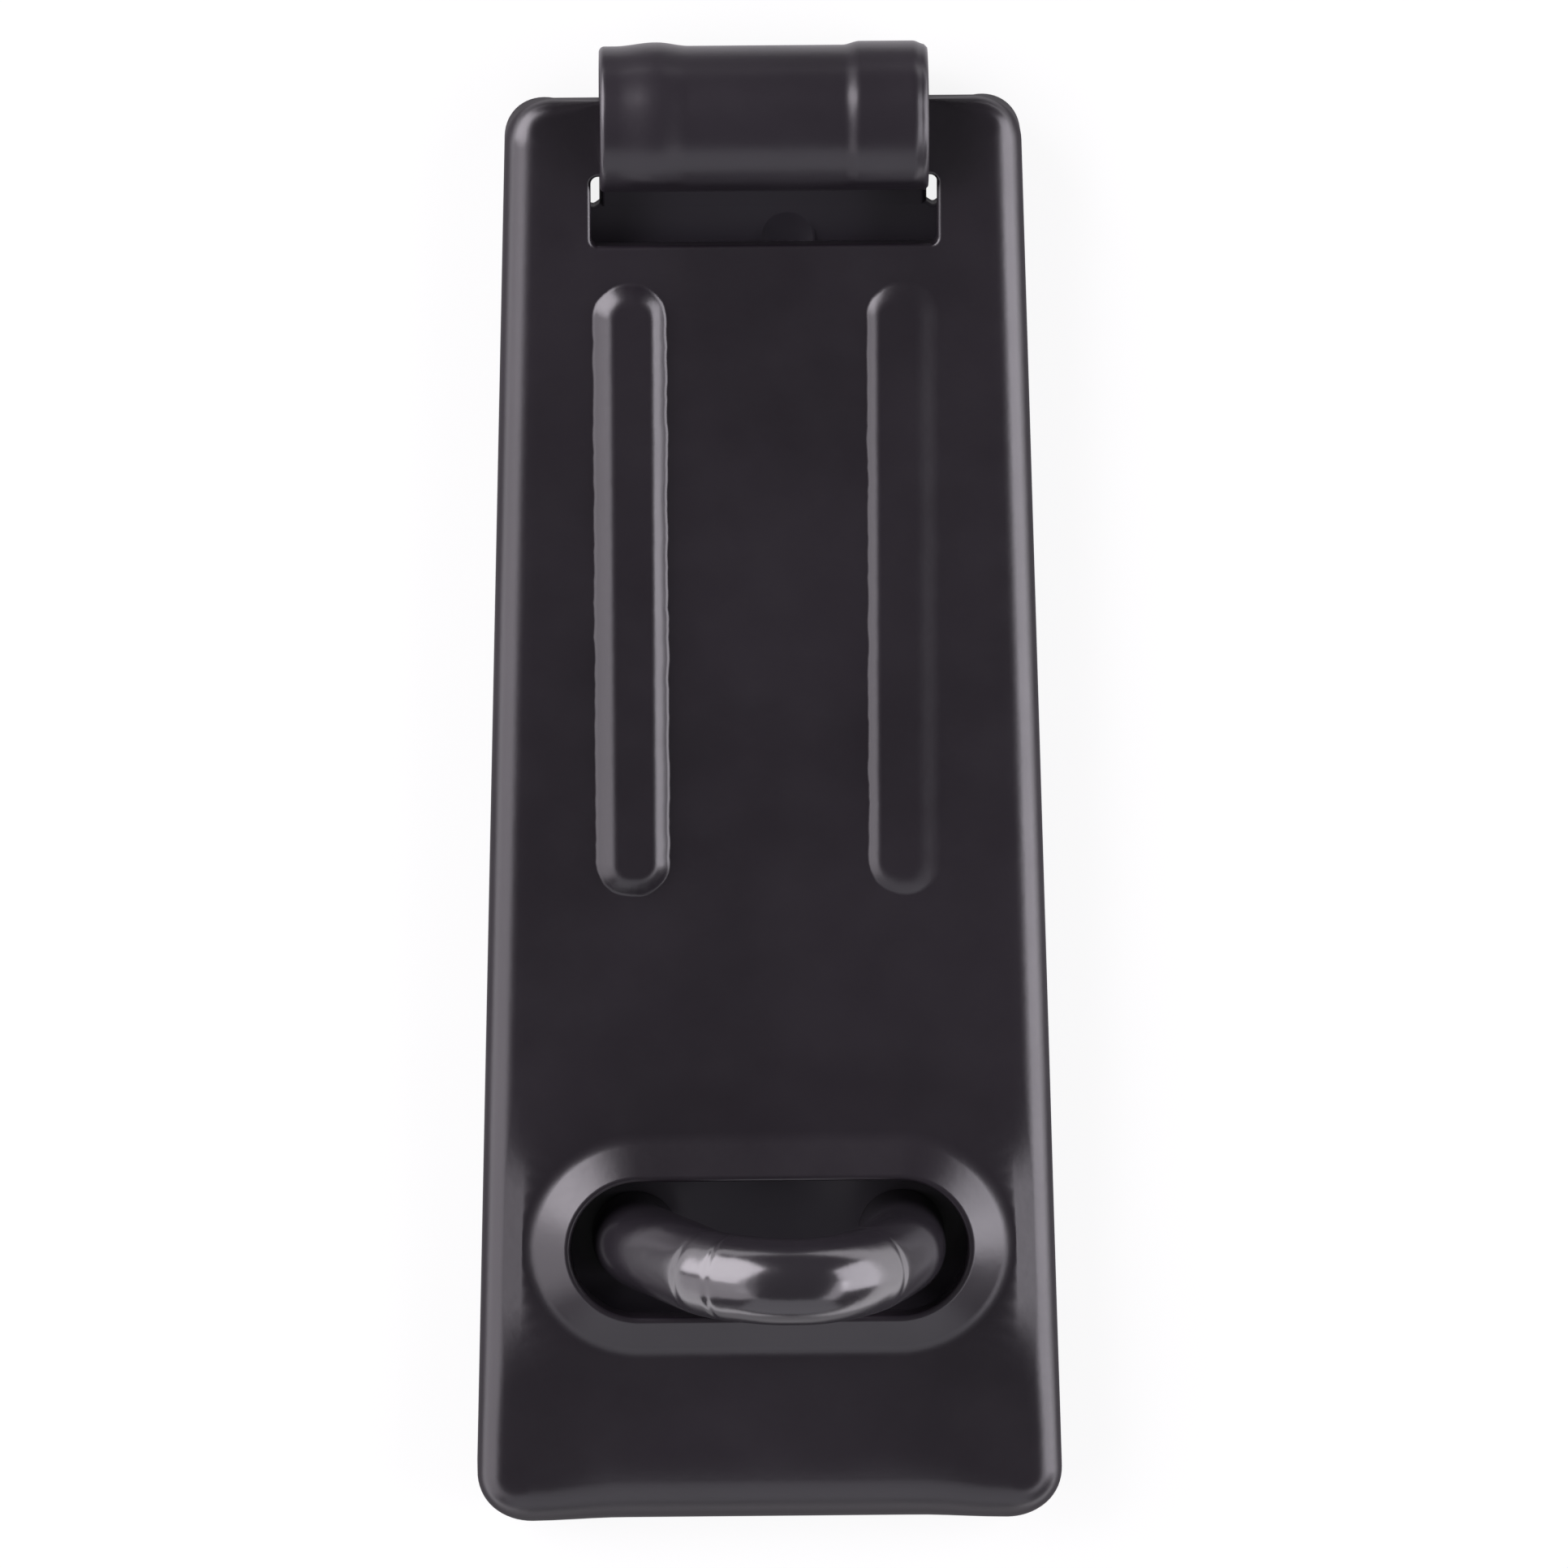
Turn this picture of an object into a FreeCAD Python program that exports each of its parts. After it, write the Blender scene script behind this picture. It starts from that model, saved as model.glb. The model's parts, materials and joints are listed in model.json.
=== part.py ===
import FreeCAD, Part
import math
import os

# Hasp and staple, closed, in millimetres.
# X runs across the hasp, Y along it towards the hinge end, Z out of the door.
# The wall plane, on which both screw plates lie, is z = 0.
# The origin is in that plane, at the middle of the whole length.

# Sheet and running gaps
sheet = 2.0  # thickness of the leaf, the strap and both screw plates
edge_round = 0.35  # rounding of sheared edges that show
wall_gap = 0.6  # from the rolled edge of the leaf to the wall
bend_inside = 1.0  # inside radius of the rolled sides
end_bend_inside = 2.0  # inside radius of the rolled slot end

# Hinge: the strap of the hinge plate is rolled round the cross bar of the leaf
bar_above_axis = 1.55  # cross bar, from the hinge axis to the hinge end of the leaf
bar_below_axis = 3.15  # cross bar, from the hinge axis to the window
bar_play = 0.2  # from the cross bar's corners to the roll
roll_open = 56.0  # degrees of the full turn that the strap leaves open
strap_play = 0.7  # from each side of the strap to the window's side
window_gap = 4.1  # from the roll's reach to the window's lower edge

# Leaf
leaf_length = 111.0
leaf_width_hinge = 38.9  # over the sides, at the hinge end
leaf_width_slot = 45.1  # over the sides, at the slot end
corner_over_roll = 0.2  # how much larger the slot-end corners are, seen from the front, than the roll
hinge_corner_radius = 3.7  # hinge-end corners, seen from the front
hinge_corner_run = 0.1  # how far the corner's full arc would stand out of the side
skirt_corner_left = 0.2  # straight stretch between a hinge-end corner, seen from the side, and the sheet
window_from_side = 6.35  # from the leaf's side, at the hinge end
window_corner = 1.2

# Ribs of the leaf
rib_from_side = 6.1  # from the leaf's side, at the hinge end
rib_from_window = 2.9
rib_from_rim = 18.6
rib_width = 5.9
rib_height = 1.1
rib_flank = 1.15  # width of the slope
rib_corner = 2.6
rib_round = 0.9  # rounding at the foot and the crest of a rib

# Slot and its raised rim
slot_from_end = 22.2  # slot centre to the outside of the slot end
rim_from_roll = 0.23  # from the foot of the rim to the rolled side, beside the slot centre
rim_height = 1.5
rim_land = 0.45  # flat crest between the slope and the slot
rim_flank = 3.05  # width of the slope
rim_round = 1.0  # rounding at the foot of the rim

# Low ribs on the roll
strap_rib_width = 5.9
strap_rib_from_side = 0.45  # from the strap's side
strap_rib_height = 0.3
strap_rib_slope = 1.0
strap_rib_seat = 0.2  # how far the rib's root reaches into the strap
strap_rib_start = 62.0  # degrees from the wall side of the roll
strap_rib_sweep = 180.0

# Screw plates, which lie inside the closed leaf
plate_play_hinge = 1.7  # from each side of the hinge plate to the leaf, at its shoulder
plate_play_slot = 1.93  # from each side of the staple plate to the leaf, at its upper end
plate_play_end = 2.2  # from the staple plate to the leaf's slot end
plates_apart = 16.5
shoulder_gap = 1.75  # from the roll's reach to the shoulders of the hinge plate
plate_corner = 3.0
shoulder_corner = 1.0
mark_radius = 2.1  # small round press mark below the roll
mark_depth = 0.45
mark_across = 1.8
mark_from_shoulder = 2.0

# Screw holes of both plates
screw_hole = 4.6
screw_wall = 0.4  # straight part of the hole, behind its countersink
hinge_screw_from_side = 6.0
hinge_screw_from_shoulder = 12.0
hinge_screw_from_end = 8.5
staple_screw_from_side = 5.0
staple_screw_from_end = 5.5

# Staple
staple_bar = 6.6
staple_play = 1.7  # from the outside of a leg to the slot's end
staple_lift = 2.0  # from the bar to the slot's long sides
staple_height = 18.9  # wall to the centreline of the bend
leg_shoulder = 0.8  # step from a leg to its tenon
rivet_spread = 1.3  # how far the rivet head reaches past the tenon
rivet_depth = 1.1

# Hinge end: places and sizes that follow from the ones above
side_roll = sheet + bend_inside
end_roll = sheet + end_bend_inside
corner_radius = end_roll + corner_over_roll
barrel_inner = math.hypot(bar_below_axis, sheet / 2) + bar_play
barrel_outer = barrel_inner + sheet
roll_angle = 360 - roll_open
axis_z = barrel_outer
leaf_front = axis_z + sheet / 2
leaf_back = leaf_front - sheet
overall_length = leaf_length - bar_above_axis + barrel_outer + strap_rib_height
axis_y = overall_length / 2 - barrel_outer - strap_rib_height
leaf_top = axis_y + bar_above_axis
leaf_end = leaf_top - leaf_length
taper = math.atan((leaf_width_slot - leaf_width_hinge) / 2 / leaf_length)
window_width = leaf_width_hinge - 2 * window_from_side
window_height = barrel_outer - bar_below_axis + window_gap
window_top = axis_y - bar_below_axis
window_y = window_top - window_height / 2
window_bottom = window_top - window_height
strap_width = window_width - 2 * strap_play
strap_rib_spacing = strap_width - strap_rib_width - 2 * strap_rib_from_side
shoulder_y = axis_y - barrel_outer - shoulder_gap


def side_line(y, inset):
    # half width of the leaf at y, with its side moved in by inset
    grown = (leaf_top - y) * math.tan(taper)
    return leaf_width_hinge / 2 + grown - inset / math.cos(taper)


# Slot end, ribs and plates: places and sizes that follow
slot_y = leaf_end + slot_from_end
slot_width = 2 * (side_line(slot_y, side_roll) - rim_from_roll - rim_flank - rim_land)
slot_height = staple_bar + 2 * staple_lift
rim_reach = rim_land + rim_flank  # from the slot to the foot of the rim
rib_spacing = leaf_width_hinge - rib_width - 2 * rib_from_side
rib_top = window_bottom - rib_from_window
rib_end = slot_y + slot_height / 2 + rim_reach + rib_from_rim
rib_length = rib_top - rib_end
rib_y = (rib_top + rib_end) / 2
staple_legs = slot_width - staple_bar - 2 * staple_play
tenon = staple_bar - 2 * leg_shoulder
rivet_head = tenon + 2 * rivet_spread
staple_plate_length = 2 * (slot_from_end - sheet - plate_play_end)
staple_plate_width = 2 * (side_line(slot_y + staple_plate_length / 2, sheet) - plate_play_slot)
hinge_plate_length = shoulder_y - slot_y - staple_plate_length / 2 - plates_apart
hinge_plate_width = 2 * (side_line(shoulder_y, sheet) - plate_play_hinge)
screw_head = screw_hole + 2 * (sheet - screw_wall)

# Working values of the cutters and of the search for edges
through = 40.0  # longer than anything it cuts
under = 1.0  # how far below its piece a cutter starts
outside = 3.0  # how far a corner cutter reaches past the corner
near = 1e-3


def vec(x, y, z):
    return FreeCAD.Vector(x, y, z)


def pick_edges(shape, test):
    return [edge for edge in shape.Edges if test(edge.BoundBox)]


def flat_at(box, z):
    return abs(box.ZMin - z) < near and abs(box.ZMax - z) < near


def round_edges(shape, radius, test):
    return shape.makeFillet(radius, pick_edges(shape, test))


def roll_edges(block, high_z, side_radius, end_radius):
    # rolls the front edges: one radius along the sides, another along the slot end, and an even
    # change from one to the other round each corner between them
    document = FreeCAD.newDocument("roll")
    base = document.addObject("Part::Feature", "block")
    base.Shape = block
    roll = document.addObject("Part::Fillet", "rolled")
    roll.Base = base
    middle_y = block.BoundBox.Center.y
    table = []
    for number, edge in enumerate(block.Edges, 1):
        if not flat_at(edge.BoundBox, high_z):
            continue
        start = edge.firstVertex().Point.y
        stop = edge.lastVertex().Point.y
        if edge.Curve.TypeId == "Part::GeomCircle":
            radii = (side_radius, end_radius) if start > stop else (end_radius, side_radius)
        elif abs(start - stop) > near:
            radii = (side_radius, side_radius)
        elif start < middle_y:
            radii = (end_radius, end_radius)
        else:
            continue
        table.append((number, radii[0], radii[1]))
    roll.Edges = table
    document.recompute()
    rolled = roll.Shape.copy()
    FreeCAD.closeDocument(document.Name)
    return rolled


def rounded_wire(x, y, half_x, half_y, radius, z):
    # a rectangle with round corners, or a stadium where the radius is the smaller half size
    r = min(radius, half_x, half_y)
    flat_x = half_x - r
    flat_y = half_y - r
    turns = ((1, 1), (-1, 1), (-1, -1), (1, -1))
    edges = []
    ends = []
    for number, (sx, sy) in enumerate(turns):
        centre = vec(x + sx * flat_x, y + sy * flat_y, z)
        start = math.radians(90 * number)
        points = [centre + vec(r * math.cos(start + a), r * math.sin(start + a), 0)
                  for a in (0, math.pi / 4, math.pi / 2)]
        edges.append(Part.Arc(*points).toShape())
        ends.append((points[0], points[2]))
    for number in range(4):
        leave = ends[number][1]
        meet = ends[(number + 1) % 4][0]
        if leave.distanceToPoint(meet) > near:
            edges.append(Part.makeLine(leave, meet))
    return Part.Wire(Part.__sortEdges__(edges))


def prism(wire, height):
    return Part.Face(wire).extrude(vec(0, 0, height))


def frustum(x, y, foot, crest, z, height):
    # foot and crest are (half_x, half_y, radius)
    low = rounded_wire(x, y, *foot, z)
    high = rounded_wire(x, y, *crest, z + height)
    return Part.makeLoft([low, high], True, True)


def leaf_block(inset, top_y, low_z, high_z):
    # the tapered block with round corners at the slot end and rolled front edges
    end_y = leaf_end + inset
    top_half = side_line(top_y, inset)
    end_half = side_line(end_y, inset)
    corners = [vec(-top_half, top_y, low_z), vec(-end_half, end_y, low_z),
               vec(end_half, end_y, low_z), vec(top_half, top_y, low_z)]
    block = prism(Part.makePolygon(corners + corners[:1]), high_z - low_z)
    block = round_edges(block, corner_radius - inset, lambda box: (
        box.ZLength > near and abs(box.YMax - end_y) < near))
    return roll_edges(block, high_z, side_roll - inset, end_roll - inset)


def hinge_corner_cutter(side):
    # what is sheared off a hinge-end corner, seen from the front: the arc leaves the end
    # smoothly and crosses the side at a slight angle
    r = hinge_corner_radius
    centre_x = side_line(leaf_top - r, 0) - r + hinge_corner_run
    far_x = leaf_width_hinge / 2 + outside
    far_y = leaf_top + outside
    centre = vec(side * centre_x, leaf_top - r, -under)
    on_top = centre + vec(0, r, 0)
    middle = centre + vec(side * r, r, 0) * math.sqrt(0.5)
    middle.z = -under
    on_side = centre + vec(side * r, 0, 0)
    arc = Part.Arc(on_side, middle, on_top).toShape()
    border = Part.makePolygon([on_top, vec(on_top.x, far_y, -under), vec(side * far_x, far_y, -under),
                               vec(side * far_x, on_side.y, -under), on_side])
    return prism(Part.Wire([arc] + border.Edges), through)


def skirt_corner_cutter():
    # what is trimmed from the rolled sides at the hinge end, seen from the side
    r = leaf_back - wall_gap - skirt_corner_left
    centre = vec(-through, leaf_top - r, wall_gap + r)
    low = wall_gap - under
    far_y = leaf_top + outside
    half_turn = math.radians(45)
    start = centre + vec(0, 0, -r)
    middle = centre + vec(0, r * math.sin(half_turn), -r * math.cos(half_turn))
    stop = centre + vec(0, r, 0)
    arc = Part.Arc(start, middle, stop).toShape()
    border = Part.makePolygon([stop, vec(-through, far_y, stop.z), vec(-through, far_y, low),
                               vec(-through, start.y, low), start])
    return Part.Face(Part.Wire([arc] + border.Edges)).extrude(vec(2 * through, 0, 0))


def pressed_pair(x, y, half_x, half_y, radius, flank, height):
    # a raised form on the front and the hollow that the same press stroke leaves behind it
    slope = math.atan(height / flank)
    shift = sheet * math.tan(slope / 2)
    foot = (half_x, half_y, radius)
    crest = (half_x - flank, half_y - flank, radius - flank)
    raised = frustum(x, y, foot, crest, leaf_front, height)
    back_foot = tuple(size - shift for size in foot)
    back_crest = tuple(size - shift for size in crest)
    hollow = frustum(x, y, back_foot, back_crest, leaf_back, height)
    return raised, hollow


def within(box, y, half_x, half_y):
    # true for an edge that lies in the rectangle round (0, y), seen from the front
    return max(abs(box.XMin), abs(box.XMax)) < half_x + near and (
        max(abs(box.YMin - y), abs(box.YMax - y)) < half_y + near)


def in_ribs(box):
    return within(box, rib_y, (rib_spacing + rib_width) / 2, rib_length / 2)


def in_rim(box, reach):
    return within(box, slot_y, slot_width / 2 + reach, slot_height / 2 + reach)


def in_window(box):
    return within(box, window_y, window_width / 2, window_height / 2)


def hasp_leaf():
    outer = leaf_block(0, leaf_top, wall_gap, leaf_front)
    inner = leaf_block(sheet, leaf_top + through, wall_gap - under, leaf_back)
    leaf = outer.cut(inner)
    cutters = [hinge_corner_cutter(1), hinge_corner_cutter(-1), skirt_corner_cutter()]
    raised = []
    for side in (-1, 1):
        rib = pressed_pair(side * rib_spacing / 2, rib_y, rib_width / 2, rib_length / 2,
                           rib_corner, rib_flank, rib_height)
        raised.append(rib[0])
        cutters.append(rib[1])
    half_x = slot_width / 2
    half_y = slot_height / 2
    rim = pressed_pair(0, slot_y, half_x + rim_reach, half_y + rim_reach, half_y + rim_reach,
                       rim_flank, rim_height)
    raised.append(rim[0])
    cutters.append(rim[1])
    slot = rounded_wire(0, slot_y, half_x, half_y, half_y, -under)
    cutters.append(prism(slot, through))
    window = rounded_wire(0, window_y, window_width / 2, window_height / 2, window_corner, -under)
    cutters.append(prism(window, through))
    leaf = leaf.fuse(raised)
    leaf = round_edges(leaf, rib_round, lambda box: in_ribs(box) and flat_at(box, leaf_front))
    leaf = round_edges(leaf, rib_round, lambda box: in_ribs(box) and flat_at(box, leaf_front + rib_height))
    leaf = round_edges(leaf, rim_round, lambda box: in_rim(box, rim_reach) and flat_at(box, leaf_front))
    leaf = leaf.cut(cutters)
    leaf = round_edges(leaf, edge_round, lambda box: (
        in_rim(box, 0) and flat_at(box, leaf_front + rim_height)))
    return round_edges(leaf, edge_round, lambda box: flat_at(box, leaf_front) and (
        in_window(box) or box.YMin > leaf_top - near))


def screw_hole_cutter(x, y):
    depth = (screw_head - screw_hole) / 2
    hole = Part.makeCylinder(screw_hole / 2, through, vec(x, y, -under))
    sink = Part.makeCone(screw_hole / 2, screw_head / 2, depth, vec(x, y, sheet - depth))
    return hole.fuse(sink)


def strap_profile():
    # side view of the strap: flat on the wall, then rolled round the hinge axis
    def on_roll(radius, degrees):
        angle = math.radians(degrees)
        return vec(-strap_width / 2, axis_y + radius * math.sin(angle), axis_z - radius * math.cos(angle))

    outer = Part.Arc(on_roll(barrel_outer, 0), on_roll(barrel_outer, roll_angle / 2),
                     on_roll(barrel_outer, roll_angle)).toShape()
    inner = Part.Arc(on_roll(barrel_inner, roll_angle), on_roll(barrel_inner, roll_angle / 2),
                     on_roll(barrel_inner, 0)).toShape()
    lip = Part.makeLine(on_roll(barrel_outer, roll_angle), on_roll(barrel_inner, roll_angle))
    foot = shoulder_y - hinge_plate_length / 2
    flat = Part.makePolygon([on_roll(barrel_inner, 0), vec(-strap_width / 2, foot, sheet),
                             vec(-strap_width / 2, foot, 0), on_roll(barrel_outer, 0)])
    return Part.Face(Part.Wire([outer, lip, inner] + flat.Edges))


def strap_rib(x):
    # a low rib that runs round the roll
    half_foot = strap_rib_width / 2
    half_crest = half_foot - strap_rib_slope
    corners = []
    for across, height in ((-half_foot, -strap_rib_seat), (-half_foot, 0), (-half_crest, strap_rib_height),
                           (half_crest, strap_rib_height), (half_foot, 0), (half_foot, -strap_rib_seat)):
        corners.append(vec(x + across, axis_y, axis_z - barrel_outer - height))
    section = Part.Face(Part.makePolygon(corners + corners[:1]))
    section.rotate(vec(0, axis_y, axis_z), vec(1, 0, 0), strap_rib_start)
    return section.revolve(vec(0, axis_y, axis_z), vec(1, 0, 0), strap_rib_sweep)


def hinge_plate():
    middle_y = shoulder_y - hinge_plate_length / 2
    plate = prism(rounded_wire(0, middle_y, hinge_plate_width / 2, hinge_plate_length / 2,
                               plate_corner, 0), sheet)
    shoulders = prism(rounded_wire(0, shoulder_y - plate_corner * 2, hinge_plate_width / 2,
                                   plate_corner * 2, shoulder_corner, 0), sheet)
    strap = strap_profile().extrude(vec(strap_width, 0, 0))
    strap = round_edges(strap, edge_round, lambda box: box.XLength < near and (
        box.YLength > 2 * barrel_outer - near))
    body = plate.fuse([shoulders, strap])
    for side in (-1, 1):
        body = body.fuse(strap_rib(side * strap_rib_spacing / 2))
    ball_radius = (mark_radius ** 2 + mark_depth ** 2) / 2 / mark_depth
    mark_y = shoulder_y - mark_from_shoulder
    mark = Part.makeSphere(ball_radius, vec(mark_across, mark_y, sheet - mark_depth + ball_radius))
    cutters = [mark.common(Part.makeBox(through, through, sheet, vec(
        mark_across - through / 2, mark_y - through / 2, 0)))]
    far_row = hinge_plate_length - hinge_screw_from_end
    for from_shoulder in (hinge_screw_from_shoulder, far_row):
        for side in (-1, 1):
            cutters.append(screw_hole_cutter(side * (hinge_plate_width / 2 - hinge_screw_from_side),
                                             shoulder_y - from_shoulder))
    return body.cut(cutters).removeSplitter()


def leg_places():
    return [side * staple_legs / 2 for side in (-1, 1)]


def rivet_cone(x):
    return Part.makeCone(rivet_head / 2, tenon / 2, rivet_depth, vec(x, slot_y, 0))


def staple_plate():
    plate = prism(rounded_wire(0, slot_y, staple_plate_width / 2, staple_plate_length / 2,
                               plate_corner, 0), sheet)
    cutters = []
    for x in leg_places():
        cutters.append(Part.makeCylinder(tenon / 2, through, vec(x, slot_y, -under)))
        cutters.append(rivet_cone(x))
    for row in (-1, 1):
        for side in (-1, 1):
            cutters.append(screw_hole_cutter(
                side * (staple_plate_width / 2 - staple_screw_from_side),
                slot_y + row * (staple_plate_length / 2 - staple_screw_from_end)))
    return plate.cut(cutters)


def staple_loop():
    bend_radius = staple_legs / 2
    bend_z = staple_height - bend_radius
    section = Part.makeCircle(staple_bar / 2, vec(bend_radius, slot_y, bend_z), vec(0, 0, 1))
    bend = Part.Face(Part.Wire(section)).revolve(vec(0, slot_y, bend_z), vec(0, 1, 0), -180)
    pieces = []
    for x in leg_places():
        pieces.append(Part.makeCylinder(staple_bar / 2, bend_z - sheet, vec(x, slot_y, sheet)))
        pieces.append(Part.makeCylinder(tenon / 2, sheet, vec(x, slot_y, 0)))
        pieces.append(rivet_cone(x))
    return bend.fuse(pieces).removeSplitter()


os.makedirs("parts", exist_ok=True)
for name, make in (("hasp_leaf", hasp_leaf), ("hinge_plate", hinge_plate),
                   ("staple_plate", staple_plate), ("staple_loop", staple_loop)):
    shape = make()
    box = shape.BoundBox
    print(name, shape.isValid(), len(shape.Solids), round(shape.Volume, 1),
          [round(v, 2) for v in (box.XMin, box.XMax, box.YMin, box.YMax, box.ZMin, box.ZMax)])
    shape.exportStep("parts/" + name + ".step")
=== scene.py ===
# Hasp and staple, black coated, closed and lying on a pale floor. Metres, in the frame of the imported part:
# X across the hasp, Y towards the hinge end, Z out of the door.
import json
import math

import bmesh
import bpy
from mathutils import Matrix, Vector, noise
from mathutils.geometry import delaunay_2d_cdt

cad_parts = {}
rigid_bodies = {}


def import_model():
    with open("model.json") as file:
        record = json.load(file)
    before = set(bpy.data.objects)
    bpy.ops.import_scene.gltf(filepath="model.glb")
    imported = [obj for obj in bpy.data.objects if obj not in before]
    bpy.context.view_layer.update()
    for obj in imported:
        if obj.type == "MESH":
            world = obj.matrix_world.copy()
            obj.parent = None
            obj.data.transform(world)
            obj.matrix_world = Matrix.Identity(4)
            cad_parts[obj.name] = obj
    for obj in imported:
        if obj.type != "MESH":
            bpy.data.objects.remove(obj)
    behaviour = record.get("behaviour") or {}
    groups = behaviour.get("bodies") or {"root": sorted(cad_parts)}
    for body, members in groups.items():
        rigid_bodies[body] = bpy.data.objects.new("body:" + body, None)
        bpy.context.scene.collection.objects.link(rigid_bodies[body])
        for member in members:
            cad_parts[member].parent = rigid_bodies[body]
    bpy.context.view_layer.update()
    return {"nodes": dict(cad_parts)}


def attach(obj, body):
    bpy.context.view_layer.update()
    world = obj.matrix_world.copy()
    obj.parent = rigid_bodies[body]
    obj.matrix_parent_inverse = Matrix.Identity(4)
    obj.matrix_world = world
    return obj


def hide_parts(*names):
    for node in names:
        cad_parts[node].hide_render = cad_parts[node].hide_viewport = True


for leftover in list(bpy.data.objects):
    bpy.data.objects.remove(leftover)

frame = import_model()
mm = 0.001
print("frame loaded:", sorted(frame["nodes"]))


# Node maths, for shader trees and geometry trees alike
class Signal:
    # a socket of a node tree, used in plain arithmetic: every operation adds its Math node
    def __init__(self, tree, socket=None):
        self.tree = tree
        self.socket = socket

    def node(self, kind, settings=None, sockets=None, output=0):
        made = self.tree.nodes.new(kind)
        for name, value in (settings or {}).items():
            setattr(made, name, value)
        for name, value in (sockets or {}).items():
            if isinstance(value, Signal):
                self.tree.links.new(value.socket, made.inputs[name])
            else:
                made.inputs[name].default_value = value
        return Signal(self.tree, made.outputs[output])

    def maths(self, operation, *values):
        # the Math node of that operation, with this signal as its first value
        return self.node("ShaderNodeMath", {"operation": operation}, dict(enumerate((self, *values))))

    def reflected(self, operation, other):
        # the same with this signal second
        return self.node("ShaderNodeMath", {"operation": operation}, {0: other, 1: self})

    def __add__(self, other):
        return self.maths("ADD", other)

    def __radd__(self, other):
        return self.reflected("ADD", other)

    def __sub__(self, other):
        return self.maths("SUBTRACT", other)

    def __rsub__(self, other):
        return self.reflected("SUBTRACT", other)

    def __mul__(self, other):
        return self.maths("MULTIPLY", other)

    def __rmul__(self, other):
        return self.reflected("MULTIPLY", other)

    def __truediv__(self, other):
        return self.maths("DIVIDE", other)

    def __rtruediv__(self, other):
        return self.reflected("DIVIDE", other)

    def between(self, low, high):
        # 0 below low, 1 above high, and a smooth change from one to the other
        return self.node("ShaderNodeMapRange", {"interpolation_type": "SMOOTHSTEP"},
                         {"Value": self, "From Min": low, "From Max": high})


def colourMix(tree, factor, low, high):
    # Mix in its colour form: sockets 6 and 7 are its two colours, output 2 the result
    return Signal(tree).node("ShaderNodeMix", {"data_type": "RGBA"}, {0: factor, 6: low, 7: high}, 2)


def newMaterial(name):
    material = bpy.data.materials.new(name)
    material.use_nodes = True
    tree = material.node_tree
    shader = next(node for node in tree.nodes if node.type == "BSDF_PRINCIPLED")
    return material, tree, shader


def addObject(name, data):
    made = bpy.data.objects.new(name, data)
    bpy.context.scene.collection.objects.link(made)
    return made


# Black coat: stoved paint with a fine peel, a little uneven in tone and gloss.
# Sizes, depths and the heights between which the painted fill light fades out are in millimetres.
coatLook = {
    "leaf": {
        "dark": (0.0084, 0.0064, 0.0090), "light": (0.0118, 0.0093, 0.0126), "rough": 0.32, "shine": 0.7,
        "peelSize": 0.8, "peelDepth": 0.010, "grainSize": 0.16, "grainDepth": 0.0016,
    },
    "plate": {
        "dark": (0.0118, 0.0095, 0.0128), "light": (0.0165, 0.0138, 0.0178), "rough": 0.33, "shine": 0.6,
        "peelSize": 0.9, "peelDepth": 0.010, "grainSize": 0.16, "grainDepth": 0.0014,
        # painted light: a lighter colour low on the plates, and the heights over which it fades out
        "paintedFillLow": (0.034, 0.031, 0.038), "paintedFillFade": (2.1, 3.5),
    },
    "staple": {
        "dark": (0.0120, 0.0105, 0.0130), "light": (0.0170, 0.0152, 0.0182), "rough": 0.20, "shine": 0.9,
        "peelSize": 1.2, "peelDepth": 0.012, "grainSize": 0.3, "grainDepth": 0.0012,
    },
}
# what the three coats share: size of the tone's clouds and of the smudges, and how far each changes the look
coatShared = {
    "cloudSize": 14, "cloudSpan": (0.3, 0.7), "smudgeSize": 5, "smudgeRough": 0.10, "grainRough": 0.06,
    "cloudDetail": 3, "smudgeDetail": 4, "peelDetail": 1.5, "grainDetail": 2,
}


def blackCoat(name, look, shared):
    material, tree, shader = newMaterial(name)
    start = Signal(tree)
    place = start.node("ShaderNodeTexCoord", output="Object")

    def patches(size, detail):
        return start.node("ShaderNodeTexNoise", None, {
            "Vector": place, "Scale": 1 / (size * mm), "Detail": detail, "Roughness": 0.5})

    cloud = patches(shared["cloudSize"], shared["cloudDetail"])
    smudge = patches(shared["smudgeSize"], shared["smudgeDetail"])
    peel = patches(look["peelSize"], shared["peelDetail"])
    grain = patches(look["grainSize"], shared["grainDetail"])
    tone = cloud.between(*shared["cloudSpan"])
    colour = colourMix(tree, tone, (*look["dark"], 1), (*look["light"], 1))
    if "paintedFillLow" in look:
        # painted light: the plates' flats close to the wall get a lighter colour, standing in for light that
        # does not reach down there, fading out higher up
        height = start.node("ShaderNodeSeparateXYZ", None, {"Vector": place}, "Z")
        paintedFillLow, paintedFillHigh = look["paintedFillFade"]
        colour = colourMix(tree, height.between(paintedFillLow * mm, paintedFillHigh * mm), (*look["paintedFillLow"], 1), colour)
    rough = look["rough"] + shared["smudgeRough"] * (smudge - 0.5) + shared["grainRough"] * (grain - 0.5)
    relief = peel * (look["peelDepth"] * mm) + grain * (look["grainDepth"] * mm)
    bump = start.node("ShaderNodeBump", None, {"Strength": 1.0, "Distance": 1.0, "Height": relief})
    shader.inputs["Specular IOR Level"].default_value = look["shine"]
    for socket, signal in (("Base Color", colour), ("Roughness", rough), ("Normal", bump)):
        tree.links.new(signal.socket, shader.inputs[socket])
    return material


coats = {name: blackCoat(name + "BlackCoat", look, coatShared) for name, look in coatLook.items()}
plateMesh = frame["nodes"]["staple_plate"].data
plateMesh.materials.clear()
plateMesh.materials.append(coats["plate"])
print("coats made:", len(coats))


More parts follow.
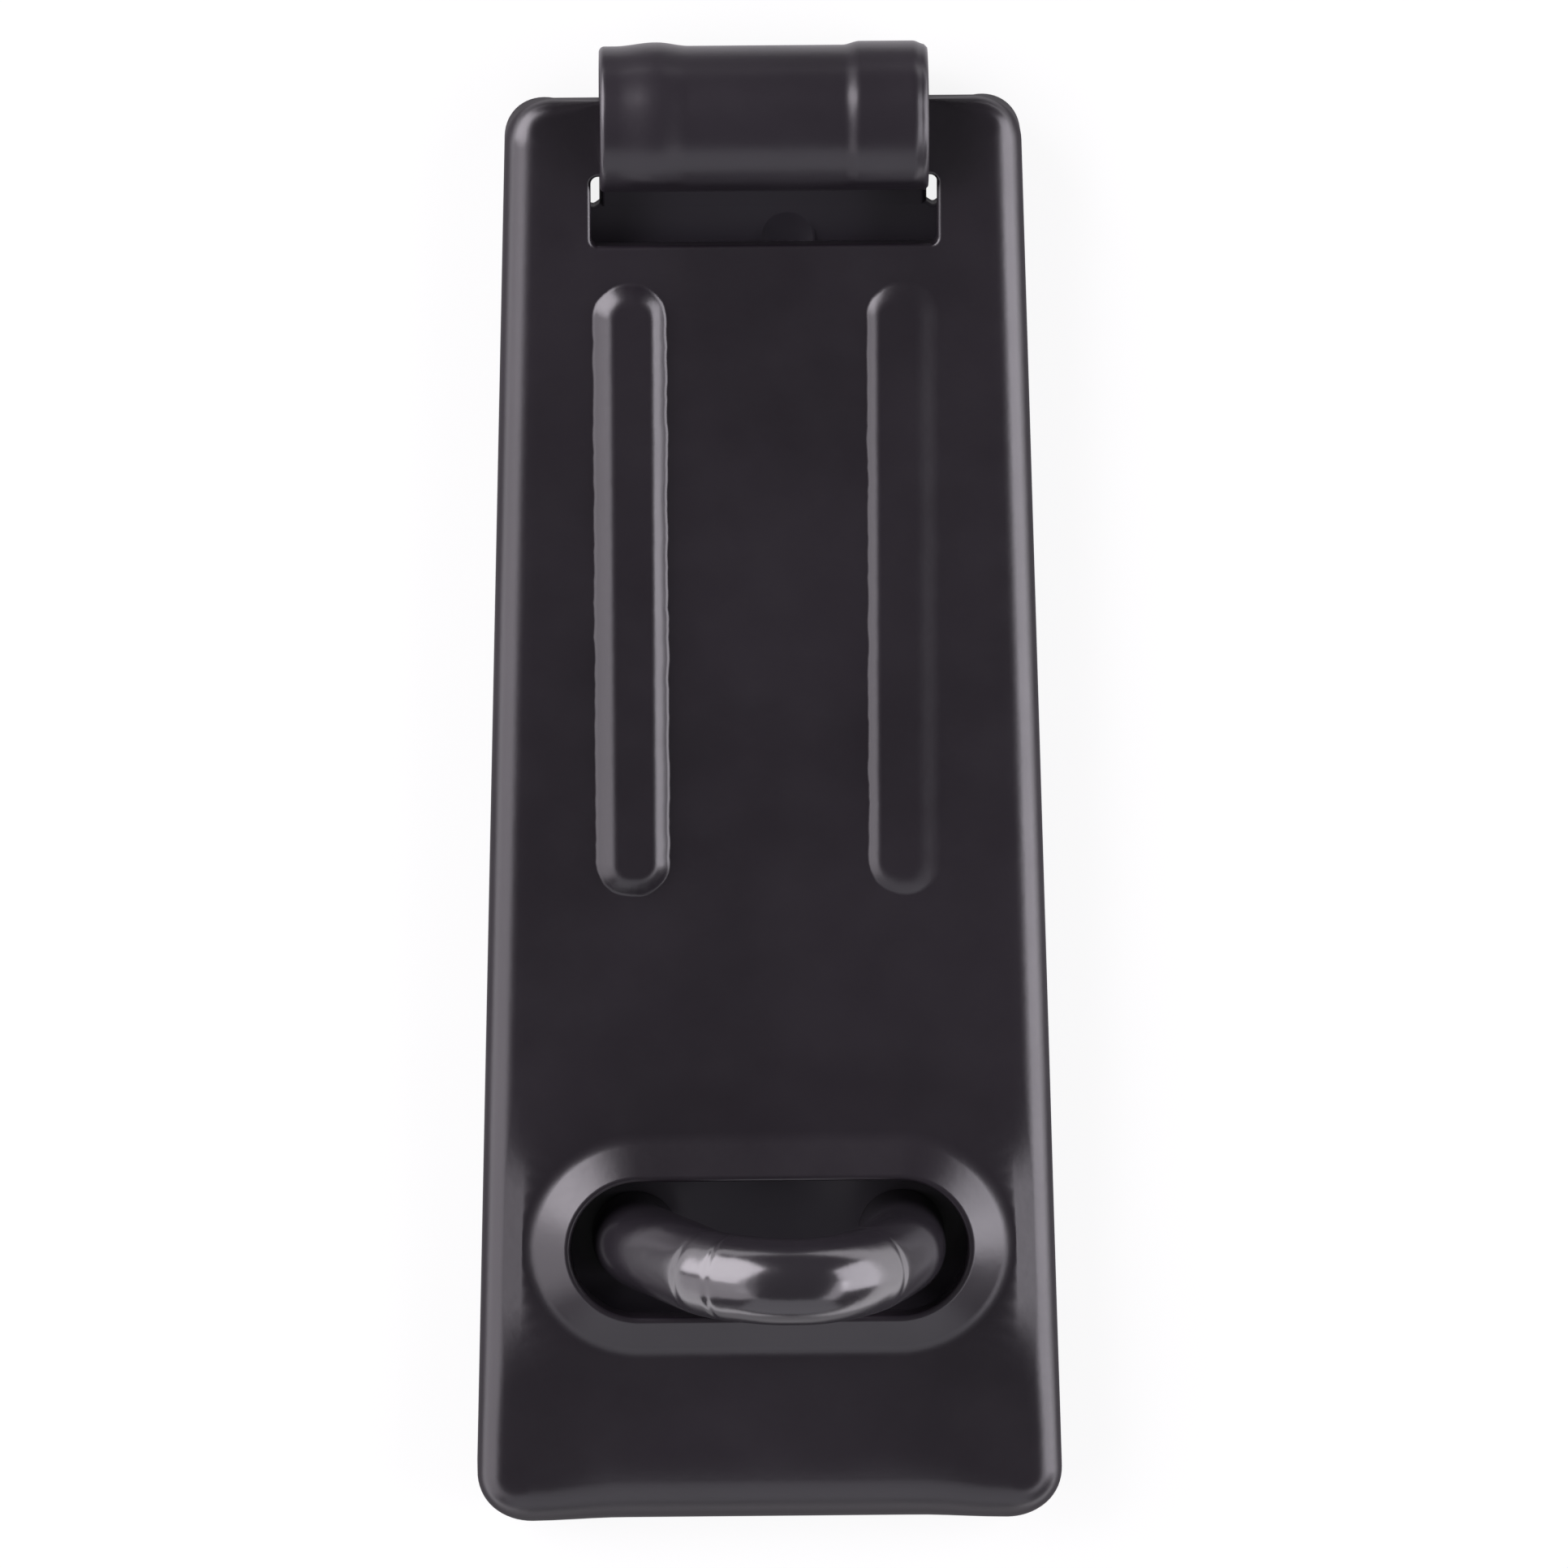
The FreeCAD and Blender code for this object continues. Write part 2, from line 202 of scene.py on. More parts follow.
# Pressed sheet, in millimetres. A ring is a closed line of stations, each a point on a plan outline with the
# direction that points outwards there. A wall is a row of rings, and flats are filled between rings.
def arcStations(centre, radius, startDegrees, stopDegrees, steps):
    found = []
    for step in range(steps + 1):
        angle = math.radians(startDegrees + (stopDegrees - startDegrees) * step / steps)
        outward = Vector((math.cos(angle), math.sin(angle)))
        found.append((Vector(centre) + outward * radius, outward))
    return found


def straightStations(start, stop, outward, spacing):
    # the stations between two points, without the points themselves
    steps = max(1, round((stop - start).length / spacing))
    return [(start.lerp(stop, step / steps), outward) for step in range(1, steps)]


# in how many steps each round or slope is made
fineness = {
    "edge": 4, "backEdge": 3, "bend": 5, "ease": 4, "roll": 10, "rimFoot": 8, "rimCrest": 5, "dish": 9,
}


def shares(steps):
    return [step / steps for step in range(steps + 1)]


def quarterTurn(steps):
    return [math.radians(90 * step / steps) for step in range(steps + 1)]


def straightEnd(outward, side):
    # whether a station lies on the straight run towards the hinge (side 1) or away from it (side -1)
    return outward.y * side > 0.999


def roundedStations(centre, halfX, halfY, radius, arcSteps, spacing):
    # a rectangle with round corners, or a stadium, anticlockwise from the middle of the right side
    corners = []
    for sx, sy, startDegrees in ((1, 1, 0), (-1, 1, 90), (-1, -1, 180), (1, -1, 270)):
        middle = (centre[0] + sx * (halfX - radius), centre[1] + sy * (halfY - radius))
        corners.append(arcStations(middle, radius, startDegrees, startDegrees + 90, arcSteps))
    ring = []
    for number, corner in enumerate(corners):
        if ring and (ring[-1][0] - corner[0][0]).length < 1e-6:
            ring.pop()
        ring += corner
        following = corners[(number + 1) % 4][0]
        if (following[0] - corner[-1][0]).length > spacing:
            ring += straightStations(corner[-1][0], following[0], following[1], spacing)
    if (ring[0][0] - ring[-1][0]).length < 1e-6:
        ring.pop()
    return ring


class SheetMesh:
    # gathers the points of one sheet, each with the direction that its coat faces, and its faces
    def __init__(self):
        self.points = []
        self.facing = []
        self.faces = []

    def ring(self, stations, insets, heights, leans):
        # insets are measured inwards; a lean is the coat's tilt from straight up, towards the outside
        first = len(self.points)
        for (point, outward), inset, height, lean in zip(stations, insets, heights, leans):
            spot = point - outward * inset
            tilt = outward * math.sin(lean)
            self.points.append(Vector((spot.x, spot.y, height)))
            self.facing.append(Vector((tilt.x, tilt.y, math.cos(lean))))
        return list(range(first, len(self.points)))

    def level(self, stations, inset, height, lean):
        # a ring with the same inset, height and lean all round
        count = len(stations)
        return self.ring(stations, [inset] * count, [height] * count, [lean] * count)

    def shaped(self, stations, profiles):
        # the rings of a wall whose profile changes from station to station: steps of inset, height and lean
        return [self.ring(stations, *zip(*column)) for column in zip(*profiles)]

    def wall(self, rings):
        for low, high in zip(rings, rings[1:]):
            count = len(low)
            for step in range(count):
                after = (step + 1) % count
                self.faces.append((low[step], low[after], high[after], high[step]))

    def flat(self, border, holes, facesUp):
        # fills a level area between its border and the rings of its holes
        loops = [border] + holes
        members = [index for loop in loops for index in loop]
        place = {index: number for number, index in enumerate(members)}
        edges = [(place[a], place[b]) for loop in loops for a, b in zip(loop, loop[1:] + loop[:1])]
        # rounded, so that a straight run of points is one line and no thin triangles come between them
        plan = [Vector((round(self.points[index].x, 4), round(self.points[index].y, 4))) for index in members]
        found, _, triangles, origins, _, _ = delaunay_2d_cdt(plan, edges, [], 0, 1e-7)
        kept = [origin[0] for origin in origins]

        def inside(point, loop):
            hits = False
            for a, b in zip(loop, loop[1:] + loop[:1]):
                p = self.points[a]
                q = self.points[b]
                if (p.y > point.y) != (q.y > point.y):
                    if point.x < p.x + (q.x - p.x) * (point.y - p.y) / (q.y - p.y):
                        hits = not hits
            return hits

        for triangle in triangles:
            middle = sum((found[corner] for corner in triangle), Vector((0, 0))) / 3
            if inside(middle, border) and not any(inside(middle, hole) for hole in holes):
                corners = [members[kept[corner]] for corner in triangle]
                self.faces.append(tuple(corners if facesUp else corners[::-1]))


def settleMesh(work, mesh, name):
    # turns the faces outwards and writes the mesh back, with a line on how many edges stay open
    bmesh.ops.recalc_face_normals(work, faces=work.faces)
    openEdges = sum(1 for edge in work.edges if len(edge.link_faces) != 2)
    work.to_mesh(mesh)
    work.free()
    print(name, "faces", len(mesh.polygons), "open edges", openEdges)


def finishSheet(sheet, name):
    # millimetres to metres, doubles merged, and the coat's own directions given to the shading
    mesh = bpy.data.meshes.new(name)
    mesh.from_pydata([point * mm for point in sheet.points], [], sheet.faces)
    facing = mesh.attributes.new("facing", "FLOAT_VECTOR", "POINT")
    facing.data.foreach_set("vector", [value for vector in sheet.facing for value in vector])
    work = bmesh.new()
    work.from_mesh(mesh)
    bmesh.ops.remove_doubles(work, verts=work.verts, dist=0.002 * mm)
    bmesh.ops.dissolve_degenerate(work, edges=work.edges, dist=0.0005 * mm)
    settleMesh(work, mesh, name)
    mesh.shade_smooth()
    kept = mesh.attributes["facing"]
    values = [Vector(item.vector).normalized() for item in kept.data]
    mesh.normals_split_custom_set_from_vertices(values)
    mesh.attributes.remove(kept)
    return addObject(name, mesh)


# Leaf: one pressed sheet with rolled sides and slot end, two ribs, and a raised rim round its slot
leafSizes = {
    # outline and sheet
    "top": 53.37, "end": -57.82, "halfTop": 19.45, "halfEnd": 22.55, "hingeCorner": 3.7, "endCorner": 4.2,
    "front": 6.5, "sheet": 2.0, "wallGap": 0.6, "skirtCorner": 3.7, "cutEdge": 0.35, "edgeRound": 0.2,
    # radius of the rolled edge, and how far in the face starts to fall towards it
    "roll": {"side": 2.48, "low": 2.15, "corner": 3.7, "end": 4.6, "hinge": 2.45, "cut": 0.35},
    "ease": {"side": 3.0, "low": 2.5, "corner": 4.0, "end": 6.2, "hinge": 2.75, "cut": 0.6},
    # where one changes to the other: low on the sides, by the hinge, along the slot end and the hinge end
    "lowStart": -42.0, "lowFade": 9.0, "hingeStart": 40.0, "hingeFade": 10.0, "endFade": 7.0,
    "topShare": 0.5, "topTurn": 0.3, "topStart": 12.6, "topFade": 3.1,
    # the face's lean where the roll starts, in degrees: steeper beside the rim and at the slot end
    "startLean": 5.0, "rimLean": 20.0, "endLean": 4.0, "rimY": -35.43, "rimReach": 14.0, "rimFade": 10.0,
    # behind, how much of the wall's depth its foot's round and the bend above it may take
    "footShare": 0.3, "bendShare": 0.6, "spacing": 1.5, "arcSteps": 16,
}
windowSizes = {
    "middle": (0.0, 45.45), "halfX": 13.1, "halfY": 3.225, "corner": 0.55, "cornerSteps": 8, "spacing": 0.2,
    "strapSide": 12.42, "barDrop": 1.15,
}
# heights, flanks and roundness are given for the left side, the right side and the ends
ribSizes = [
    {"middle": (-10.23, 15.65), "heights": (0.95, 0.95, 0.95), "flanks": (1.7, 1.35, 1.7),
     "roundness": (0.8, 1.0, 0.9)},
    {"middle": (10.52, 15.65), "heights": (0.46, 0.28, 0.38), "flanks": (1.05, 2.0, 1.7),
     "roundness": (0.9, 0.2, 0.9)},
]
ribPlan = {
    "halfX": 2.74, "halfY": 23.65, "corner": 2.6, "spacing": 0.45, "arcSteps": 14, "steps": 9,
    "footLand": 0.16, "footEdge": 0.02, "footLean": 0.55,
    # the press leaves its flanks a little wavy: a coarse wave and a fine one
    "wave": 0.045, "waveLength": 1.4, "fineShare": 0.5, "fineLength": 0.4, "coarseSeed": 3.0, "fineSeed": 9.0,
    # the hollow behind: its inset, and its steps as inset, share of the height and lean
    "hollowStep": 0.8, "hollow": [(0.0, 0.0, 0.0), (0.25, 0.12, 0.75), (0.9, 0.88, 0.75), (1.2, 1.0, 0.0)],
}
rimSizes = {
    "middle": (0.0, -35.43), "slotX": 15.2, "slotY": 5.3, "land": 0.45, "slope": 3.05, "height": 1.5,
    "footOut": 0.12, "footIn": 0.9, "crest": 0.1, "slotEdge": 0.3, "spacing": 2.0, "arcSteps": 28,
    "hollowRound": (0.2, 0.06), "hollowFoot": (0.3, 0.12),
}
backEdgeShare = 0.6  # the back edge of a cut is eased this much of its front edge


def leafOutline(sizes):
    # anticlockwise from the slot end: right side, hinge end, left side, slot end
    taper = math.atan((sizes["halfEnd"] - sizes["halfTop"]) / (sizes["top"] - sizes["end"]))
    sideNormal = Vector((math.cos(taper), math.sin(taper)))

    def cornerCentre(radius, y):
        # where an arc of that radius touches both the side and a cross line at that y
        halfAt = sizes["halfTop"] + (sizes["top"] - y) * math.tan(taper)
        return Vector((halfAt - radius / math.cos(taper), y))

    endCentre = cornerCentre(sizes["endCorner"], sizes["end"] + sizes["endCorner"])
    hingeCentre = cornerCentre(sizes["hingeCorner"], sizes["top"] - sizes["hingeCorner"])
    tapered = math.degrees(taper)
    lower = arcStations(endCentre, sizes["endCorner"], -90, tapered, sizes["arcSteps"])
    upper = arcStations(hingeCentre, sizes["hingeCorner"], tapered, 90, sizes["arcSteps"])
    side = straightStations(lower[-1][0], upper[0][0], sideNormal, sizes["spacing"])
    rightHalf = lower + side + upper
    leftHalf = [(Vector((-point.x, point.y)), Vector((-outward.x, outward.y)))
                for point, outward in reversed(rightHalf)]
    topRun = straightStations(rightHalf[-1][0], leftHalf[0][0], Vector((0, 1)), sizes["spacing"])
    endRun = straightStations(leftHalf[-1][0], rightHalf[0][0], Vector((0, -1)), sizes["spacing"])
    return rightHalf + topRun + leftHalf + endRun


def smooth(share):
    share = min(max(share, 0.0), 1.0)
    return share * share * (3 - 2 * share)


def edgeForm(point, outward, sizes):
    # how the border is rolled at one station: radius, ease, lean where the roll starts, nearness to the rim
    toEnd = max(-outward.y, 0.0) ** 2
    toTop = max(outward.y, 0.0)
    rolled = 1 - (1 - sizes["topShare"]) * smooth((toTop - sizes["topTurn"]) / (1 - sizes["topTurn"]))
    if straightEnd(outward, 1):
        rolled *= smooth((abs(point.x) - sizes["topStart"]) / sizes["topFade"])
    nearHinge = smooth((point.y - sizes["hingeStart"]) / sizes["hingeFade"])
    nearEnd = smooth((sizes["lowStart"] - point.y) / sizes["lowFade"]) * (1 - toEnd)
    alongEnd = 0.0
    if straightEnd(outward, -1):
        alongEnd = smooth((sizes["halfEnd"] - sizes["endCorner"] - abs(point.x)) / sizes["endFade"])

    def along(values):
        size = values["side"] + (values["corner"] - values["side"]) * toEnd
        size += (values["hinge"] - values["side"]) * nearHinge + (values["low"] - values["side"]) * nearEnd
        size += (values["end"] - values["corner"]) * alongEnd
        return size * rolled + values["cut"] * (1 - rolled)

    byRim = smooth((sizes["rimReach"] - abs(point.y - sizes["rimY"])) / sizes["rimFade"])
    lean = sizes["startLean"] + (sizes["rimLean"] - sizes["startLean"]) * byRim + sizes["endLean"] * alongEnd
    return along(sizes["roll"]), along(sizes["ease"]), math.radians(lean * rolled), byRim


def edgeProfile(point, outward, sizes):
    # inset, height and lean, from the face over the roll and down the wall, round its foot and up inside
    roll, ease, startLean, byRim = edgeForm(point, outward, sizes)
    front = sizes["front"]
    back = front - sizes["sheet"]
    # the wall's foot rises in a quarter round towards the hinge end
    fromTop = max(point.y - (sizes["top"] - sizes["skirtCorner"]), 0.0) / sizes["skirtCorner"]
    foot = back - (back - sizes["wallGap"]) * math.sqrt(max(1 - fromTop ** 2, 0.0))
    arcStart = roll * (1 - math.sin(startLean))
    # beside the rim the face slopes evenly, elsewhere it bends down from level
    drop = (ease - arcStart) * math.tan(startLean) * (1 + byRim) / 2
    profile = []
    for share in shares(fineness["ease"]):
        fall = drop * (share ** 2 * (1 - byRim) + share * byRim)
        lean = startLean * (share * (1 - byRim) + byRim)
        profile.append((ease + (arcStart - ease) * share, front - fall, lean))
    for share in shares(fineness["roll"])[1:]:
        lean = startLean + (math.pi / 2 - startLean) * share
        fall = drop + roll * (math.cos(startLean) - math.cos(lean))
        profile.append((roll * (1 - math.sin(lean)), front - fall, lean))
    outer = sizes["edgeRound"]
    for turned in quarterTurn(fineness["edge"]):
        profile.append((outer * (1 - math.cos(turned)), foot + outer * (1 - math.sin(turned)),
                        math.pi / 2 + turned))
    inner = min(outer, (back - foot) * sizes["footShare"])
    for turned in quarterTurn(fineness["backEdge"])[1:]:
        profile.append((sizes["sheet"] - inner * (1 - math.sin(turned)),
                        foot + inner * (1 - math.cos(turned)), math.pi + turned))
    bend = max(min(roll - sizes["sheet"], (back - foot) * sizes["bendShare"]), 0.0)
    for turned in quarterTurn(fineness["bend"]):
        profile.append((sizes["sheet"] + bend * (1 - math.cos(turned)), back - bend * (1 - math.sin(turned)),
                        math.pi * 1.5 - turned))
    return profile


def leafBorder(sheet, sizes):
    # the rolled border, from the front flat round the edge to the back flat; returns its first and last ring
    stations = leafOutline(sizes)
    rings = sheet.shaped(stations, [edgeProfile(point, outward, sizes) for point, outward in stations])
    sheet.wall(rings[::-1])
    return rings[0], rings[-1]


def shearedWall(sheet, stations, inset, front, back, edge):
    # the rings of an opening's wall from the front to the back, both its edges eased
    rings = []
    for turned in quarterTurn(fineness["edge"]):
        rings.append(sheet.level(stations, inset - edge * (1 - math.sin(turned)),
                                 front - edge * (1 - math.cos(turned)), -turned))
    backEdge = edge * backEdgeShare
    for turned in quarterTurn(fineness["backEdge"]):
        rings.append(sheet.level(stations, inset - backEdge * (1 - math.cos(turned)),
                                 back + backEdge * (1 - math.sin(turned)), -math.pi / 2 - turned))
    return rings


def cutThrough(sheet, stations, front, back, edge):
    rings = shearedWall(sheet, stations, 0.0, front, back, edge)
    sheet.wall(rings)
    return rings[0], rings[-1]


def ribProfile(point, outward, sizes, plan, front):
    # inset, height and lean, from the foot of the rib up its flank
    weights = (max(-outward.x, 0) ** 2, max(outward.x, 0) ** 2, outward.y ** 2)
    flank, full, height = (sum(weight * value for weight, value in zip(weights, sizes[name]))
                           for name in ("flanks", "roundness", "heights"))
    length = plan["waveLength"]
    coarse = noise.noise(Vector((point.x, point.y, plan["coarseSeed"])) / length)
    fine = noise.noise(Vector((point.x, point.y, plan["fineSeed"])) / (length * plan["fineLength"]))
    wave = (coarse + plan["fineShare"] * fine) * plan["wave"] * 2
    profile = []
    for step in range(-1, plan["steps"] + 1):
        share = max(step, 0) / plan["steps"]
        # a round flank rises at once, a swept one starts and ends softly
        rise = full * (1 - (1 - share) ** 2) + (1 - full) * smooth(share)
        slope = full * 2 * (1 - share) + (1 - full) * 6 * share * (1 - share)
        inset = flank * share + wave * (1 - share)
        lean = math.atan(slope * height / flank)
        if step < 0:
            inset -= plan["footLand"]
            lean = 0.0
        elif step == 0:
            inset -= plan["footEdge"]
            lean *= plan["footLean"]
        profile.append((inset, front + height * rise, lean))
    return profile


def pressRib(sheet, sizes, plan, front, thickness):
    stations = roundedStations(sizes["middle"], plan["halfX"], plan["halfY"], plan["corner"],
                               plan["arcSteps"], plan["spacing"])
    profiles = [ribProfile(point, outward, sizes, plan, front) for point, outward in stations]
    rings = sheet.shaped(stations, profiles)
    sheet.wall(rings)
    sheet.flat(rings[-1], [], True)
    back = front - thickness
    depth = sizes["heights"][0]
    hollow = [sheet.level(stations, plan["hollowStep"] + inset, back + depth * share, math.pi - lean)
              for inset, share, lean in plan["hollow"]]
    sheet.wall(hollow[::-1])
    sheet.flat(hollow[-1], [], False)
    return rings[0], hollow[0]


def pressRim(sheet, sizes, front, thickness):
    # slope up to the rim, its narrow land, the slot's wall, and the hollow behind
    reach = sizes["land"] + sizes["slope"]
    radius = sizes["slotY"] + reach
    stations = roundedStations(sizes["middle"], sizes["slotX"] + reach, radius, radius, sizes["arcSteps"],
                               sizes["spacing"])
    footRun = sizes["footOut"] + sizes["footIn"]
    tilt = math.atan(sizes["height"] / (sizes["slope"] - (sizes["footIn"] - sizes["footOut"]) / 2))
    rings = []
    for share in shares(fineness["rimFoot"]):
        rise = math.tan(tilt) * footRun / 2 * share ** 2
        rings.append(sheet.level(stations, footRun * share - sizes["footOut"], front + rise, tilt * share))
    crest = sizes["crest"]
    for share in shares(fineness["rimCrest"]):
        run = sizes["slope"] - crest + 2 * crest * share
        rise = sizes["height"] - math.tan(tilt) * crest * (1 - share) ** 2
        rings.append(sheet.level(stations, run, front + rise, tilt * (1 - share)))
    edge = sizes["slotEdge"]
    top = front + sizes["height"]
    under = top - thickness
    back = front - thickness
    rings += shearedWall(sheet, stations, reach, top, under, edge)
    shift = thickness * math.tan(tilt / 2)
    roundIn, roundUp = sizes["hollowRound"]
    footIn, footUp = sizes["hollowFoot"]
    inside = sizes["slope"] + shift
    for inset, height, lean in ((inside, under, 0.0), (inside - roundIn, under - roundUp, tilt),
                                (shift + footIn, back + footUp, tilt), (shift, back, 0.0)):
        rings.append(sheet.level(stations, min(inset, reach - edge), height, math.pi - lean))
    sheet.wall(rings)
    return rings[0], rings[-1]


def windowOutline(sizes):
    # a rectangle with small corners; the bar above it reaches a little lower on each side of the strap
    middleX, middleY = sizes["middle"]
    top = middleY + sizes["halfY"]
    lowered = top - sizes["barDrop"]
    ring = roundedStations((middleX, middleY - sizes["barDrop"] / 2), sizes["halfX"],
                           sizes["halfY"] - sizes["barDrop"] / 2, sizes["corner"], sizes["cornerSteps"],
                           sizes["spacing"])
    side = sizes["strapSide"]
    upward = Vector((0, 1))
    outline = [pair for pair in ring if not straightEnd(pair[1], 1) or abs(pair[0].x) > side]
    first = next(number for number, pair in enumerate(outline) if pair[0].x < 0)
    raised = [(Vector((side, lowered)), upward), (Vector((side, top)), upward)]
    raised += straightStations(Vector((side, top)), Vector((-side, top)), upward, sizes["spacing"])
    raised += [(Vector((-side, top)), upward), (Vector((-side, lowered)), upward)]
    return outline[:first] + raised + outline[first:]


def pressLeaf():
    sheet = SheetMesh()
    sizes = leafSizes
    back = sizes["front"] - sizes["sheet"]
    frontBorder, backBorder = leafBorder(sheet, sizes)
    window = windowOutline(windowSizes)
    openings = [cutThrough(sheet, window, sizes["front"], back, sizes["cutEdge"])]
    for rib in ribSizes:
        openings.append(pressRib(sheet, rib, ribPlan, sizes["front"], sizes["sheet"]))
    openings.append(pressRim(sheet, rimSizes, sizes["front"], sizes["sheet"]))
    sheet.flat(frontBorder, [pair[0] for pair in openings], True)
    sheet.flat(backBorder, [pair[1] for pair in openings], False)
    leaf = finishSheet(sheet, "pressedLeaf")
    leaf.data.materials.append(coats["leaf"])
    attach(leaf, "leaf")
    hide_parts("hasp_leaf")


pressLeaf()
print("leaf pressed")


# Geometry trees: what both of them start and end with
def openTree(name, sizeNames):
    # the tree, a signal that starts its nodes, and its inputs by name
    tree = bpy.data.node_groups.new(name, "GeometryNodeTree")
    for sizeName in sizeNames:
        tree.interface.new_socket(sizeName, in_out="INPUT", socket_type="NodeSocketFloat")
    tree.interface.new_socket("Material", in_out="INPUT", socket_type="NodeSocketMaterial")
    tree.interface.new_socket("Geometry", in_out="OUTPUT", socket_type="NodeSocketGeometry")
    entry = tree.nodes.new("NodeGroupInput")
    return tree, Signal(tree), {socket.name: Signal(tree, socket) for socket in entry.outputs if socket.name}


def closeTree(tree, made, material):
    # millimetres to metres, made real and given its coat
    start = Signal(tree)
    made = start.node("GeometryNodeTransform", None, {"Geometry": made, "Scale": (mm, mm, mm)})
    made = start.node("GeometryNodeRealizeInstances", None, {"Geometry": made})
    made = start.node("GeometryNodeSetMaterial", None, {"Geometry": made, "Material": material})
    finish = tree.nodes.new("NodeGroupOutput")
    tree.links.new(made.socket, finish.inputs["Geometry"])
    return tree


# Staple: a round bar bent to a U by eight presses. A press is where it starts along the bar, the degrees that
# it turns the bar, and over what length. A mark is its place along the bar, its reach and its depth.
stapleSizes = {
    "halfGap": 10.2, "middleY": -35.43, "barRadius": 3.3, "legRadius": 2.5, "shoulder": 2.0,
    "shoulderRun": 0.12, "spread": 1.3, "headDepth": 1.1, "points": 440, "sides": 56, "firstLength": 52.0,
    "lengthRounds": 6,
    "presses": [(3.0, 28, 5.0), (16.1, 20, 1.4), (18.4, 16, 1.2), (20.7, 26, 3.8), (24.0, 29, 3.4),
                (26.0, 20, 4.0), (30.6, 17, 1.5), (35.5, 24, 5.0)],
    "marks": [(16.8, 0.22, 0.05), (19.0, 0.18, 0.06), (31.35, 0.22, 0.05)],
    # the middle of a bar bent hot is slightly uneven
    "unevenness": 0.025, "unevenScale": 0.28, "unevenStart": (9, 13), "unevenStop": (38, 42), "seed": 4.0,
}


def barRun(sizes):
    # the bar's length from foot to foot, and how far apart its presses put the feet
    length = sizes["firstLength"]
    # lengthened or shortened by what the second foot ends too high or too low
    for attempt in range(sizes["lengthRounds"]):
        spacing = length / (sizes["points"] - 1)
        across = 0.0
        rise = 0.0
        for step in range(sizes["points"] - 1):
            along = step * spacing
            angle = math.pi / 2 - sum(math.radians(turn) * smooth((along - begin) / run)
                                      for begin, turn, run in sizes["presses"])
            across += math.cos(angle) * spacing
            rise += math.sin(angle) * spacing
        length += rise
    return length, across


def bentBarTree(sizes):
    tree, start, given = openTree("bentBar", (
        "Length", "Span", "Half Gap", "Middle Y", "Bar Radius", "Leg Radius", "Unevenness", "Seed"))
    line = start.node("GeometryNodeCurvePrimitiveLine", None, {"Start": (0, 0, 0), "End": (0, 0, 1)})
    line = start.node("GeometryNodeResampleCurve", None, {"Curve": line, "Count": sizes["points"]})
    along = start.node("GeometryNodeSplineParameter", output="Factor") * given["Length"]
    angle = math.pi / 2
    for begin, turn, run in sizes["presses"]:
        angle = angle - along.between(begin, begin + run) * math.radians(turn)
    spacing = given["Length"] * (1 / (sizes["points"] - 1))
    across, rise = (
        start.node("GeometryNodeAccumulateField", None, {"Value": spacing * angle.maths(part)}, "Trailing")
        for part in ("COSINE", "SINE"))
    widened = across * (2 * given["Half Gap"] / given["Span"])
    place = start.node("ShaderNodeCombineXYZ", None, {
        "X": widened - given["Half Gap"], "Y": given["Middle Y"], "Z": rise})
    line = start.node("GeometryNodeStoreNamedAttribute", {"data_type": "FLOAT", "domain": "POINT"},
                      {"Geometry": line, "Name": "along", "Value": along})
    line = start.node("GeometryNodeSetPosition", None, {"Geometry": line, "Position": place})

    # the bar steps down to a tenon in the plate and spreads to a rivet head at its foot
    height = start.node("GeometryNodeInputPosition")
    height = start.node("ShaderNodeSeparateXYZ", None, {"Vector": height}, "Z")
    head = (sizes["headDepth"] - height).maths("MAXIMUM", 0.0)
    thick = height.between(sizes["shoulder"], sizes["shoulder"] + sizes["shoulderRun"])
    radius = given["Leg Radius"] + thick * (given["Bar Radius"] - given["Leg Radius"])
    radius = radius + head * (sizes["spread"] / sizes["headDepth"])
    section = start.node("GeometryNodeCurvePrimitiveCircle", None, {
        "Resolution": sizes["sides"], "Radius": 1.0})
    bar = start.node("GeometryNodeCurveToMesh", None, {
        "Curve": line, "Profile Curve": section, "Scale": radius, "Fill Caps": True})

    # the tool's marks, and the bar's unevenness
    where = start.node("GeometryNodeInputNamedAttribute", {"data_type": "FLOAT"}, {"Name": "along"})
    uneven = start.node("ShaderNodeTexNoise", {"noise_dimensions": "4D"}, {
        "W": given["Seed"], "Scale": sizes["unevenScale"], "Detail": 1.5})
    free = where.between(*sizes["unevenStart"]) * (1 - where.between(*sizes["unevenStop"]))
    sink = (uneven - 0.5) * given["Unevenness"] * 2 * free
    for centre, reach, depth in sizes["marks"]:
        away = (where - centre).maths("ABSOLUTE")
        sink = sink + (1 - away.between(0.0, reach)) * depth
    outward = start.node("GeometryNodeInputNormal")
    push = start.node("ShaderNodeVectorMath", {"operation": "SCALE"}, {0: outward, "Scale": 0 - sink})
    bar = start.node("GeometryNodeSetPosition", None, {"Geometry": bar, "Offset": push})
    return closeTree(tree, bar, given["Material"])


# degrees between two faces past which the edge between them stays sharp
sharpEdges = {"grown": 38, "joined": 35}


